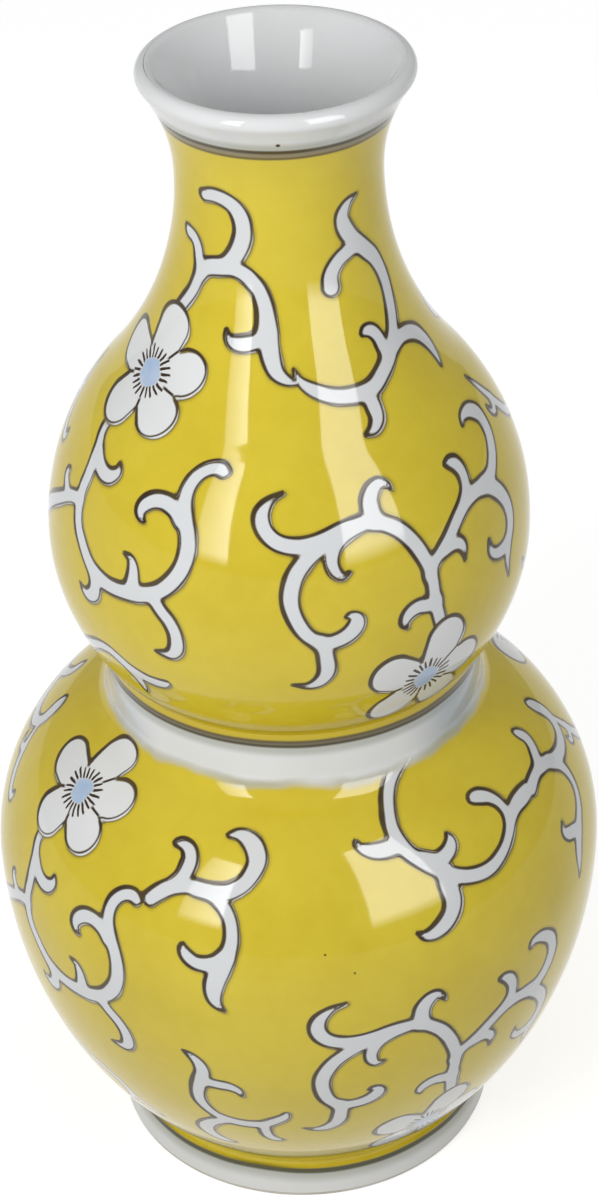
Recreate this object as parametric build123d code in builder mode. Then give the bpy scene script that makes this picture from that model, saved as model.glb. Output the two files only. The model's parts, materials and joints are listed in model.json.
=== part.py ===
from build123d import *

import os
from math import asin, atan2, cos, degrees, radians, sqrt

# Double gourd vase in porcelain: clay sections luted with slip at the foot, at the widest ring of
# each bulb, at the waist and at the rim. It is glazed white inside and on the foot, the waist and
# the rim, and covered with yellow enamel on both bulbs.
# Millimetres, +Z up, origin in the middle of the footing that it stands on.
# Radii and rises are those of the finished outside, over the fired coat.

# Foot ring
foot_height = 6.6
foot_top_radius = 35.2
foot_flare = 1.2  # the foot is this much wider at the bottom
foot_width = 6.5  # width of the ring, from its outside to the recess under the vase
foot_ledge = 2.2  # the foot stands out this far from the bulb on it
footing_round = 0.8
footing_bare = 1.4  # lowest stretch of the foot, left unglazed

# Waist, and the bulbs that swell below and above it
waist_radius = 33.9
waist_land = 1.6  # upright step between the waist and the upper bulb
waist_band = 7.5  # white band below the waist
waist_wall = 7.0  # upright part of that band
belly_swell = 22.3  # the lower bulb is this much wider than the waist
crown_swell = 8.5  # the upper bulb is this much wider than the waist

# Neck and lip
neck_radius = 17.3
lip_flare = 5.5  # the lip is this much wider than the neck
lip_round = 1.6
mouth_round = 1.4
rim_depth = 8.1  # white rim, from the top of the lip down

# Rises, each from one ring of the outline to the next
belly_rise = 56.9  # foot to the widest ring of the lower bulb
shoulder_rise = 43.5  # up to the waist
crown_rise = 23.6  # land over the waist to the widest ring of the upper bulb
neck_rise = 67.6  # up to the narrowest ring of the neck
lip_rise = 19.0  # up to the top of the lip

# Thicknesses
wall_thickness = 3.4  # clay with its coat on both sides
floor_thickness = 5.0
floor_round = 6.0
coat_thickness = 0.4
seam_thickness = 0.6

# Each S-bend is two tangent arcs: these shares of their radii go to the outward arc
shoulder_share = 0.858
crown_share = 0.454

overrun = 1.0

# Rings of the outline
foot_bottom_radius = foot_top_radius + foot_flare
foot_inner_radius = foot_bottom_radius - foot_width
joint_radius = foot_top_radius - foot_ledge
belly_radius = waist_radius + belly_swell
crown_radius = waist_radius + crown_swell
lip_radius = neck_radius + lip_flare
lip_top_radius = lip_radius - lip_round
mouth_neck_radius = neck_radius - wall_thickness

belly_height = foot_height + belly_rise
waist_height = belly_height + shoulder_rise
crease_height = waist_height + waist_land
crown_height = crease_height + crown_rise
neck_height = crown_height + neck_rise
height = neck_height + lip_rise
floor_height = foot_height + floor_thickness
band_height = waist_height - waist_band
bend_height = waist_height - waist_wall
rim_height = height - rim_depth


def span_radius(step, rise):
    """Radius of an arc that starts upright and reaches a point step inwards and rise upwards."""
    return (step**2 + rise**2) / (2 * step)


def turn_between(start, end):
    """Direction in degrees from one centre to another."""
    return degrees(atan2(end[1] - start[1], end[0] - start[0]))


# Lower bulb: one arc from the foot to its widest ring, then an S-bend into the waist
belly_base_curve = span_radius(belly_radius - joint_radius, belly_rise)
belly_base_centre = (belly_radius - belly_base_curve, belly_height)
shoulder_sum = span_radius(belly_swell, bend_height - belly_height)
shoulder_curve = shoulder_sum * shoulder_share
waist_curve = shoulder_sum - shoulder_curve
shoulder_centre = (belly_radius - shoulder_curve, belly_height)
waist_centre = (waist_radius + waist_curve, bend_height)
shoulder_turn = turn_between(shoulder_centre, waist_centre)

# Upper bulb: one arc from the waist to its widest ring, then an S-bend into the neck
crown_base_curve = span_radius(crown_swell, crown_rise)
crown_base_centre = (crown_radius - crown_base_curve, crown_height)
crown_sum = span_radius(crown_radius - neck_radius, neck_rise)
crown_curve = crown_sum * crown_share
neck_curve = crown_sum - crown_curve
crown_centre = (crown_radius - crown_curve, crown_height)
neck_centre = (neck_radius + neck_curve, neck_height)
crown_turn = turn_between(crown_centre, neck_centre)

# Lip: the neck flares outside into a round edge, and inside into a smaller one
lip_centre = (lip_top_radius, height - lip_round)
flare_curve = span_radius(lip_flare, lip_rise - lip_round) - lip_round
flare_centre = (neck_radius + flare_curve, neck_height)
lip_turn = turn_between(flare_centre, lip_centre)
mouth_step = lip_top_radius - mouth_neck_radius
mouth_rise = lip_rise - mouth_round
mouth_curve = (mouth_step**2 + mouth_rise**2 - mouth_round**2) / (2 * (mouth_step - mouth_round))
mouth_centre = (lip_top_radius, height - mouth_round)
mouth_flare_centre = (mouth_neck_radius + mouth_curve, neck_height)
mouth_turn = turn_between(mouth_flare_centre, mouth_centre)

# Enamel pooled in the corner between the lower bulb and the ledge of the foot
pool_reach = foot_top_radius - belly_base_centre[0]
pool_drop = belly_rise - coat_thickness
pool_curve = (pool_reach**2 + pool_drop**2 - belly_base_curve**2) / (2 * (belly_base_curve + pool_drop))
pool_centre = (foot_top_radius, foot_height + coat_thickness + pool_curve)
pool_turn = turn_between(belly_base_centre, pool_centre)


def bend(centre, radius, start, end):
    """Arc about a centre, from one direction to another, in degrees."""
    CenterArc(centre, radius, start, end - start)


def belly_turn(level, inset):
    """Direction from the lower bulb's centre to its wall at a level, the wall moved inwards by inset."""
    return -degrees(asin((belly_height - level) / (belly_base_curve - inset)))


def belly_point(level, inset):
    """Point of the lower bulb's wall at a level, the wall moved inwards by inset."""
    reach = (belly_base_curve - inset) * cos(radians(belly_turn(level, inset)))
    return (belly_base_centre[0] + reach, level)


def bulbs_line(inset, start_turn):
    """Both bulbs and the neck, from a direction on the lower bulb upwards, moved inwards by inset."""
    crease_curve = crown_base_curve - inset
    crease_reach = waist_radius - inset - crown_base_centre[0]
    crease_level = crown_height - sqrt(crease_curve**2 - crease_reach**2)
    crease = (waist_radius - inset, crease_level)
    bend(belly_base_centre, belly_base_curve - inset, start_turn, 0)
    bend(shoulder_centre, shoulder_curve - inset, 0, shoulder_turn)
    bend(waist_centre, waist_curve + inset, shoulder_turn + 180, 180)
    Line((waist_radius - inset, bend_height), crease)
    bend(crown_base_centre, crease_curve, turn_between(crown_base_centre, crease), 0)
    bend(crown_centre, crown_curve - inset, 0, crown_turn)
    bend(neck_centre, neck_curve + inset, crown_turn + 180, 180)


def lip_line(inset):
    """Outside of the lip, from the neck to the top, moved inwards by inset."""
    bend(flare_centre, flare_curve + inset, 180, lip_turn)
    bend(lip_centre, lip_round - inset, lip_turn - 180, 90)


def mouth_line(depth):
    """Inside of the mouth, from the top of the lip to the neck, moved into the clay by depth."""
    bend(mouth_centre, mouth_round - depth, 90, mouth_turn)
    bend(mouth_flare_centre, mouth_curve - depth, mouth_turn, 180)


def inner_line(depth):
    """Inside of the whole vase, from the top of the lip to the floor, moved into the clay by depth."""
    inset = wall_thickness - depth
    mouth_line(depth)
    bulbs_line(inset, belly_turn(floor_height - depth, inset))
    Line(belly_point(floor_height - depth, inset), (0, floor_height - depth))


def floor_corner(sketch, depth):
    """Corner of a sketch where the inside wall meets the floor."""
    corner = belly_point(floor_height - depth, wall_thickness - depth)
    return sketch.vertices().sort_by_distance(corner)[0]


def keep_between(low, high):
    """Keep the stretch of the sketch between two heights."""
    with Locations((0, low)):
        Rectangle(belly_radius + overrun, high - low, align=(Align.MIN, Align.MIN), mode=Mode.INTERSECT)


def clay_face(low, high):
    """Half section of the clay wall between two heights, without its coats."""
    with BuildSketch(Plane.XZ) as section:
        with BuildLine():
            bulbs_line(coat_thickness, belly_turn(foot_height, coat_thickness))
            lip_line(coat_thickness)
            inner_line(coat_thickness)
            Polyline(
                (0, floor_height - coat_thickness),
                (0, foot_height),
                belly_point(foot_height, coat_thickness),
            )
        make_face()
        fillet(floor_corner(section, coat_thickness), floor_round + coat_thickness)
        keep_between(low, high)
    return section.sketch


def foot_face(low, high):
    """Half section of the foot's clay between two heights, without its coat."""
    with BuildSketch(Plane.XZ) as section:
        with BuildLine():
            Polyline(
                (foot_inner_radius, 0),
                (foot_bottom_radius - coat_thickness, 0),
                (foot_top_radius - coat_thickness, foot_height),
                (foot_inner_radius, foot_height),
                close=True,
            )
        make_face()
        fillet(section.vertices().group_by(Axis.Y)[0], footing_round)
        keep_between(low, high)
    return section.sketch


def coat_face(low, high):
    """Half section of the coat outside both bulbs, the waist and the lip, between two heights."""
    with BuildSketch(Plane.XZ) as section:
        with BuildLine():
            bulbs_line(0, pool_turn)
            lip_line(0)
            Line((lip_top_radius, height), (lip_top_radius, height - coat_thickness))
            bulbs_line(coat_thickness, belly_turn(foot_height, coat_thickness))
            lip_line(coat_thickness)
            bend(pool_centre, pool_curve, pool_turn + 180, 270)
            Polyline(
                belly_point(foot_height, coat_thickness),
                (foot_top_radius, foot_height),
                (foot_top_radius, foot_height + coat_thickness),
            )
        make_face()
        keep_between(low, high)
    return section.sketch


os.makedirs("parts", exist_ok=True)

# Foot ring, turned with a flat bare footing
with BuildPart() as foot_ring:
    revolve(foot_face(0, foot_height - seam_thickness), axis=Axis.Z)
foot_ring.part.label = "foot_ring"
export_step(foot_ring.part, "parts/foot_ring.step")

# Slip between the foot ring and the lower bulb
with BuildPart() as foot_seam:
    revolve(foot_face(foot_height - seam_thickness, foot_height), axis=Axis.Z)
foot_seam.part.label = "foot_seam"
export_step(foot_seam.part, "parts/foot_seam.step")

# Lower half of the lower bulb, with the floor
with BuildPart() as belly_bowl:
    revolve(clay_face(foot_height, belly_height), axis=Axis.Z)
belly_bowl.part.label = "belly_bowl"
export_step(belly_bowl.part, "parts/belly_bowl.step")

# Slip between the halves of the lower bulb
with BuildPart() as belly_seam:
    revolve(clay_face(belly_height, belly_height + seam_thickness), axis=Axis.Z)
belly_seam.part.label = "belly_seam"
export_step(belly_seam.part, "parts/belly_seam.step")

# Upper half of the lower bulb
with BuildPart() as belly_shoulder:
    revolve(clay_face(belly_height + seam_thickness, band_height - seam_thickness), axis=Axis.Z)
belly_shoulder.part.label = "belly_shoulder"
export_step(belly_shoulder.part, "parts/belly_shoulder.step")

# Slip between the lower bulb and the waist collar
with BuildPart() as shoulder_seam:
    revolve(clay_face(band_height - seam_thickness, band_height), axis=Axis.Z)
shoulder_seam.part.label = "shoulder_seam"
export_step(shoulder_seam.part, "parts/shoulder_seam.step")

# Hollowed collar between the bulbs
with BuildPart() as waist_collar:
    revolve(clay_face(band_height, waist_height), axis=Axis.Z)
waist_collar.part.label = "waist_collar"
export_step(waist_collar.part, "parts/waist_collar.step")

# Slip between the waist collar and the upper bulb
with BuildPart() as waist_seam:
    revolve(clay_face(waist_height, waist_height + seam_thickness), axis=Axis.Z)
waist_seam.part.label = "waist_seam"
export_step(waist_seam.part, "parts/waist_seam.step")

# Lower half of the upper bulb
with BuildPart() as crown_bowl:
    revolve(clay_face(waist_height + seam_thickness, crown_height), axis=Axis.Z)
crown_bowl.part.label = "crown_bowl"
export_step(crown_bowl.part, "parts/crown_bowl.step")

# Slip between the halves of the upper bulb
with BuildPart() as crown_seam:
    revolve(clay_face(crown_height, crown_height + seam_thickness), axis=Axis.Z)
crown_seam.part.label = "crown_seam"
export_step(crown_seam.part, "parts/crown_seam.step")

# Upper half of the upper bulb, with the neck
with BuildPart() as crown_neck:
    revolve(clay_face(crown_height + seam_thickness, rim_height - seam_thickness), axis=Axis.Z)
crown_neck.part.label = "crown_neck"
export_step(crown_neck.part, "parts/crown_neck.step")

# Slip between the neck and the rim
with BuildPart() as rim_seam:
    revolve(clay_face(rim_height - seam_thickness, rim_height), axis=Axis.Z)
rim_seam.part.label = "rim_seam"
export_step(rim_seam.part, "parts/rim_seam.step")

# Rim of the mouth, flared to the lip
with BuildPart() as mouth_rim:
    revolve(clay_face(rim_height, height), axis=Axis.Z)
mouth_rim.part.label = "mouth_rim"
export_step(mouth_rim.part, "parts/mouth_rim.step")

# White glaze on the outside of the foot, above the bare footing
with BuildPart() as foot_glaze:
    with BuildSketch(Plane.XZ):
        with BuildLine():
            Polyline(
                (foot_bottom_radius - coat_thickness, 0),
                (foot_bottom_radius, 0),
                (foot_top_radius, foot_height),
                (foot_top_radius - coat_thickness, foot_height),
                close=True,
            )
        make_face()
        keep_between(footing_bare, foot_height)
    revolve(axis=Axis.Z)
foot_glaze.part.label = "foot_glaze"
export_step(foot_glaze.part, "parts/foot_glaze.step")

# White glaze over the recess under the vase
with BuildPart() as base_glaze:
    with BuildSketch(Plane.XY.offset(foot_height - coat_thickness)):
        Circle(foot_inner_radius)
    extrude(amount=coat_thickness)
base_glaze.part.label = "base_glaze"
export_step(base_glaze.part, "parts/base_glaze.step")

# Yellow enamel on the lower bulb
with BuildPart() as lower_enamel:
    revolve(coat_face(foot_height, band_height), axis=Axis.Z)
lower_enamel.part.label = "lower_enamel"
export_step(lower_enamel.part, "parts/lower_enamel.step")

# White glaze on the waist collar
with BuildPart() as waist_glaze:
    revolve(coat_face(band_height, waist_height), axis=Axis.Z)
waist_glaze.part.label = "waist_glaze"
export_step(waist_glaze.part, "parts/waist_glaze.step")

# Yellow enamel on the upper bulb and its neck
with BuildPart() as upper_enamel:
    revolve(coat_face(waist_height, rim_height), axis=Axis.Z)
upper_enamel.part.label = "upper_enamel"
export_step(upper_enamel.part, "parts/upper_enamel.step")

# White glaze on the outside of the rim, to the top of the lip
with BuildPart() as rim_glaze:
    revolve(coat_face(rim_height, height), axis=Axis.Z)
rim_glaze.part.label = "rim_glaze"
export_step(rim_glaze.part, "parts/rim_glaze.step")

# White glaze over the whole inside, from the top of the lip to the floor
with BuildPart() as inner_glaze:
    with BuildSketch(Plane.XZ) as lining:
        with BuildLine():
            inner_line(0)
            inner_line(coat_thickness)
            Line((lip_top_radius, height), (lip_top_radius, height - coat_thickness))
            Line((0, floor_height), (0, floor_height - coat_thickness))
        make_face()
        fillet(floor_corner(lining, 0), floor_round)
        fillet(floor_corner(lining, coat_thickness), floor_round + coat_thickness)
    revolve(axis=Axis.Z)
inner_glaze.part.label = "inner_glaze"
export_step(inner_glaze.part, "parts/inner_glaze.step")

print(f"height {height:.1f}, widest {2 * belly_radius:.1f}, mouth {2 * (lip_top_radius - mouth_round):.1f}")
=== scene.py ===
# %% [markdown]
# A double gourd vase in yellow enamel. Its clay sections, the slip between them and its coats come
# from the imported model, and stay where they are. The real vase could be shown with a photo wrapped
# round a plain shape, but then nothing on it could be changed. So this lesson turns the coats again
# on a fine mesh, paints the strokes on that mesh as numbers, and lets the materials colour them.

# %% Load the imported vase
import json
from math import cos, pi, radians, sin

import bmesh
import bpy
import numpy as np
from mathutils import Matrix, Vector
from mathutils.geometry import interpolate_bezier


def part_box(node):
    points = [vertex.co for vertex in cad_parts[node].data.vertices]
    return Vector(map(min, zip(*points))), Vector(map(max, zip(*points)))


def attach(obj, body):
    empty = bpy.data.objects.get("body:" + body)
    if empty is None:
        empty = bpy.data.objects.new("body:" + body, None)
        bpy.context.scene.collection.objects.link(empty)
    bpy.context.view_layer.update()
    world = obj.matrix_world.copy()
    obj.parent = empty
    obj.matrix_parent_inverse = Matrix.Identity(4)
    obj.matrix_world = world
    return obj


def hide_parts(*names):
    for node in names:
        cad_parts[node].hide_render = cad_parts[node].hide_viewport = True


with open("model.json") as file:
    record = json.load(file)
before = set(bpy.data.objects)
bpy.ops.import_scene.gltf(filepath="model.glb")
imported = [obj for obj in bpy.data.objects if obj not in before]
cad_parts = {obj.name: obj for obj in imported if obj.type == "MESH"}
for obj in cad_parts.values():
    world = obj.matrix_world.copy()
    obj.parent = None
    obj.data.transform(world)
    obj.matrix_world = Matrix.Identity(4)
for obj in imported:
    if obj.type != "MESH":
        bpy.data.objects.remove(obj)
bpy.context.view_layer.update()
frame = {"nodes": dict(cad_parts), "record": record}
MM = 0.001
scene = bpy.context.scene
print("nodes:", ", ".join(sorted(frame["nodes"])))

# %% [markdown]
# The outline of a coat. A potter knows a pot by its outline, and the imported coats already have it:
# each mesh has a row of points in the XZ plane, one for each ring. Rays tell the rings that can be
# seen from those on the hidden side. Typing the radii again would be shorter, but the outline would
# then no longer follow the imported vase.

# %% Read the rings of a coat
FINE = 0.01 * MM  # closer than this is the same place
COAT = 0.4 * MM  # thickness of the fired coat
ACROSS = Vector((1, 0, 0))


def rings(node, outside=True):
    """(radius, height) of the rings on a coat's outside or clay side, from the bottom up."""
    coat = frame["nodes"][node]
    low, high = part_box(node)
    points = {(round(v.co.x, 6), round(v.co.z, 6)) for v in coat.data.vertices if abs(v.co.y) < FINE}
    found = []
    for radius, height in points:
        level = min(max(height, low.z + FINE), high.z - FINE)
        start = Vector((2 * high.x if outside else 0, FINE, level))
        hit, place, _, _ = coat.ray_cast(start, -ACROSS if outside else ACROSS)
        if hit and abs(place.x - radius) < COAT / 2:
            found.append((radius, height))
    return np.array(sorted(found, key=lambda point: point[1]))


outlines = {name: rings(name) for name in
            ("foot_glaze", "lower_enamel", "waist_glaze", "upper_enamel", "rim_glaze")}
for name, outline in outlines.items():
    print(name, "has", len(outline), "rings, widest", round(outline[:, 0].max() / MM, 1), "mm")

# %% [markdown]
# The rings lie a few millimetres apart, and straight steps between them would show in the gloss.
# A Bezier through them, with handles along the outline, gives the round form back. Where the
# outline turns sharply, as under the upper bulb, it stays a corner: there the handle on each side
# mirrors the one at its other end, which is just what an arc does.

# %% Round the outline and space it evenly
CORNER = cos(radians(25))  # a sharper turn than this stays a corner
CURVE_POINTS = 9  # of the Bezier between two rings


def unit(vectors):
    """Vectors of length one."""
    return vectors / np.linalg.norm(vectors, axis=-1, keepdims=True)


def stretches(points):
    """The outline as round stretches of fine points, cut at its corners."""
    steps = np.diff(points, axis=0)
    lengths = np.linalg.norm(steps, axis=1, keepdims=True)
    chords = unit(steps)
    along = unit(chords[:-1] * lengths[1:] + chords[1:] * lengths[:-1])
    sharp = [True] + list((chords[:-1] * chords[1:]).sum(1) < CORNER) + [True]
    found = [[points[0]]]
    for i, chord in enumerate(chords):
        leave = chord if sharp[i] else along[i - 1]
        arrive = chord if sharp[i + 1] else along[i]
        if sharp[i]:
            leave = 2 * (arrive @ chord) * chord - arrive
        if sharp[i + 1]:
            arrive = 2 * (leave @ chord) * chord - leave
        reach = lengths[i] / 3
        knots = (points[i], points[i] + leave * reach, points[i + 1] - arrive * reach, points[i + 1])
        found[-1] += [np.array(p) for p in interpolate_bezier(*map(Vector, knots), CURVE_POINTS)[1:]]
        if sharp[i + 1] and i + 1 < len(chords):
            found.append([points[i + 1]])
    return [np.array(stretch) for stretch in found]


def run_along(points):
    """Length along a row of points, from its start to each of them."""
    return np.concatenate([[0], np.linalg.norm(np.diff(points, axis=0), axis=1).cumsum()])


def spaced(points, spacing):
    """Evenly spaced points along the rounded outline, its corners kept."""
    rows = []
    for stretch in stretches(points):
        run = run_along(stretch)
        count = max(1, round(run[-1] / spacing))
        at = np.linspace(0, run[-1], count + 1)
        rows += list(np.column_stack([np.interp(at, run, axis) for axis in stretch.T]))[:-1]
    return np.array(rows + [points[-1]])


print("at every millimetre the lower bulb has", len(spaced(outlines["lower_enamel"], 1 * MM)), "rows")

# %% [markdown]
# The coats, turned. A coat of glaze or enamel is a skin that follows the clay. Solidify could give
# a surface that thickness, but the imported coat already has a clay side, so the section is a closed
# loop: fine rows up the outside, then a few wide ones down the clay side. Spin turns the loop round
# the axis as a wheel does. A full spin of so fine a loop is slow, so one wedge is spun, and a second
# spin sets copies of it round the axis, whose borders are then merged. No hand-made wall is quite
# true, so the outside also gets a waviness of a few hundredths of a millimetre, which the gloss shows.

# %% Turn the coats on the wheel
ROWS = {  # segments round the axis, and spacing of the rows
    "foot_glaze": (288, 0.5 * MM),
    "lower_enamel": (528, 0.7 * MM),
    "waist_glaze": (288, 0.45 * MM),
    "upper_enamel": (432, 0.58 * MM),
    "rim_glaze": (288, 0.4 * MM),
}
CLAY_SPACING = 4 * MM
WAVES = (  # depth, waves round the vase, height of a wave, start
    (0.05 * MM, 2, 140 * MM, 0.4),
    (0.03 * MM, 3, 46 * MM, 1.9),
    (0.012 * MM, 5, 17 * MM, 4.1),
)
SHARP = radians(35)
WEDGES = 16
AXIS = {"cent": (0, 0, 0), "axis": (0, 0, 1)}


def unevenness(turn, height):
    """How far a hand-made wall stands off its true circle."""
    return sum(depth * np.sin(count * turn + 2 * pi * height / rise + start)
               for depth, count, rise, start in WAVES)


def show(name, data):
    """An object in the scene for a mesh, a lamp or a camera."""
    made = bpy.data.objects.new(name, data)
    scene.collection.objects.link(made)
    return made


def as_piece(name, shape):
    """An object in the scene from a bmesh."""
    mesh = bpy.data.meshes.new(name)
    shape.to_mesh(mesh)
    shape.free()
    return show(name, mesh)


def turn_on_wheel(name, loop, segments):
    """A closed shell from a loop of (radius, height) points."""
    shell = bmesh.new()
    points = [shell.verts.new((radius, 0, height)) for radius, height in loop]
    edges = [shell.edges.new(pair) for pair in zip(points, points[1:] + points[:1])]
    wedge = 2 * pi / WEDGES
    bmesh.ops.spin(shell, geom=points + edges, **AXIS, angle=wedge, steps=segments // WEDGES)
    whole = shell.verts[:] + shell.edges[:] + shell.faces[:]
    bmesh.ops.spin(shell, geom=whole, **AXIS, angle=2 * pi - wedge, steps=WEDGES - 1, use_duplicate=True)
    bmesh.ops.remove_doubles(shell, verts=shell.verts, dist=FINE)
    bmesh.ops.recalc_face_normals(shell, faces=shell.faces)
    for face in shell.faces:
        face.smooth = True
    for edge in shell.edges:
        edge.smooth = edge.calc_face_angle(0) < SHARP
    return as_piece(name, shell)


def places(piece):
    """Turn from the front, radius and height of each vertex."""
    co = np.empty(3 * len(piece.data.vertices))
    piece.data.vertices.foreach_get("co", co)
    x, y, z = co.reshape(-1, 3).T
    return np.arctan2(x, -y), np.hypot(x, y), z


coats = {}
for name, (segments, spacing) in ROWS.items():
    outside = spaced(outlines[name], spacing)
    clay_side = spaced(rings(name, outside=False), CLAY_SPACING)
    piece = turn_on_wheel("fired_" + name, np.vstack([outside, clay_side[::-1]]), segments)
    turn, radius, height = places(piece)
    true = np.interp(height, outside[:, 1], outside[:, 0])
    radius = radius + np.where(radius > true - COAT / 4, unevenness(turn, height), 0)
    co = np.column_stack([radius * np.sin(turn), -radius * np.cos(turn), height])
    piece.data.vertices.foreach_set("co", co.ravel())
    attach(piece, "root")
    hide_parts(name)
    coats[name] = piece
    print(piece.name, "has", len(outside), "rows and", 2 * len(piece.data.polygons), "triangles")

# %% [markdown]
# A brush stroke. The painter leaves the vines and blossoms white and draws a dark line round them.
# Each stroke here is a few listed points in millimetres, (across, up, half the width), and a
# Catmull-Rom curve makes it flow. Meshes of their own for the strokes would need thousands of edges
# cut into the bulbs. Instead each vertex gets its distance from the nearest stroke, below zero in
# it, and a material can draw white, line and ground from that one number.

# %% Distance from a stroke
FAR = 4.0  # mm, what a vertex away from every stroke gets
PIECES = 5  # straight pieces between two points of a stroke


def flowing(stroke):
    """The stroke's points on a Catmull-Rom curve."""
    p = np.array(stroke, float)
    p = np.vstack([2 * p[0] - p[1], p, 2 * p[-1] - p[-2]])
    t = np.linspace(0, 1, PIECES, endpoint=False)[:, None]
    curve = []
    for a, b, c, d in zip(p, p[1:], p[2:], p[3:]):
        bow = (2 * a - 5 * b + 4 * c - d) * t**2 + (3 * b - a - 3 * c + d) * t**3
        curve.append(b + ((c - a) * t + bow) / 2)
    return np.vstack(curve + [p[-2]])


def distance(spots, stroke):
    """Distance in mm of the spots from the edge of a stroke, below zero in it."""
    nearest = np.full(len(spots), FAR)
    curve = flowing(stroke)
    margin = FAR + curve[:, 2].max()
    low, high = curve[:, :2].min(0) - margin, curve[:, :2].max(0) + margin
    by = np.flatnonzero(((spots > low) & (spots < high)).all(1))
    beside = spots[by]
    for start, end in zip(curve, curve[1:]):
        step = end[:2] - start[:2]
        t = np.clip((beside - start[:2]) @ step / (step @ step), 0, 1)
        gap = np.linalg.norm(beside - start[:2] - t[:, None] * step, axis=1)
        nearest[by] = np.minimum(nearest[by], gap - start[2] - t * (end[2] - start[2]))
    return nearest


middle = distance(np.zeros((1, 2)), [(-1, 0, 1), (1, 0, 1)])[0]
print("in the middle of a stroke 2 mm wide the distance is", middle, "mm")

# %% [markdown]
# The motifs. The painting is a traditional one: a scrolling vine with curled tendrils and plum
# blossoms. The same few motifs come back on both bulbs, so each is written once, about a spot that
# it will be stamped on. First the vine under a blossom, with its side branch and hooks.

# %% Vine under a blossom
VINE = (
    [(-3, -9, 1.1), (-3.6, -12.6, 1), (-2.7, -15.6, 1.2), (-2.4, -18.5, 1.3), (-2.4, -21, 1.3),
     (-2.7, -23.5, 1.3), (-2.4, -26.7, 1.3), (-1.3, -29.7, 1.3), (0.7, -32, 1.35), (3, -34.3, 1.45),
     (5.2, -35.7, 1.7), (8.8, -36.3, 1.5), (12.3, -36, 1.5), (15.8, -35.2, 1.6), (19.3, -33.6, 1.5),
     (21.6, -31.3, 1.55), (23, -28.4, 1.55), (23.2, -25.3, 1.5), (22.4, -22.6, 1.4), (20.9, -20, 1.4),
     (19.5, -17.2, 1.3), (19, -14.8, 1.25), (19.3, -12.7, 1.3), (20.4, -11.2, 1.3), (22, -10.7, 1.2),
     (23.4, -11.3, 0.9)],
    [(-1.8, -16.2, 1.2), (-0.4, -17.6, 1.4), (1.4, -18.4, 1.45), (3.2, -18.3, 1.35), (4.5, -17.2, 1),
     (4.6, -16.1, 0.5), (4.3, -15.3, 0.1)],
    [(-2.6, -25.5, 1.2), (-6, -26.5, 1.2), (-10, -29, 1.2), (-16, -33, 1.4), (-22, -38, 1.4),
     (-28, -43, 1.4), (-32, -45.5, 1.1), (-35.5, -45.5, 0.7), (-37, -43.5, 0.2)],
    [(-8, -26.5, 1.1), (-9.5, -25, 1), (-9.8, -23.8, 0.6), (-9, -23, 0.2)],
    [(5, -36.5, 1.5), (5.2, -38.2, 1.5), (4.7, -39.9, 1.5), (3.2, -41, 1.2), (1.7, -40.8, 0.7),
     (0.7, -39.9, 0.15)],
    [(14.2, -34.6, 1.6), (14.2, -32.6, 1.3), (13.9, -30.8, 1), (13.1, -29.5, 0.6), (11.6, -29.1, 0.1)],
    [(20.2, -20.3, 1.3), (18.6, -18.9, 1.35), (16.3, -18.1, 1.4), (14.2, -18.4, 1.45), (12.8, -19.6, 1.35),
     (12.4, -20.9, 1), (13, -22, 0.6), (13.9, -22.5, 0.15)],
    [(18.5, -34.8, 1.3), (20.3, -36.8, 1.3), (22.1, -38.6, 1.35), (23.2, -40.9, 1.35), (23.2, -43.4, 1.35),
     (22, -45.2, 1), (20.2, -45.6, 0.5), (18.9, -45.6, 0.1)],
)
print("vine of", len(VINE), "strokes")

# %% [markdown]
# The large scroll that rolls out over a blossom below it.

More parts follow.
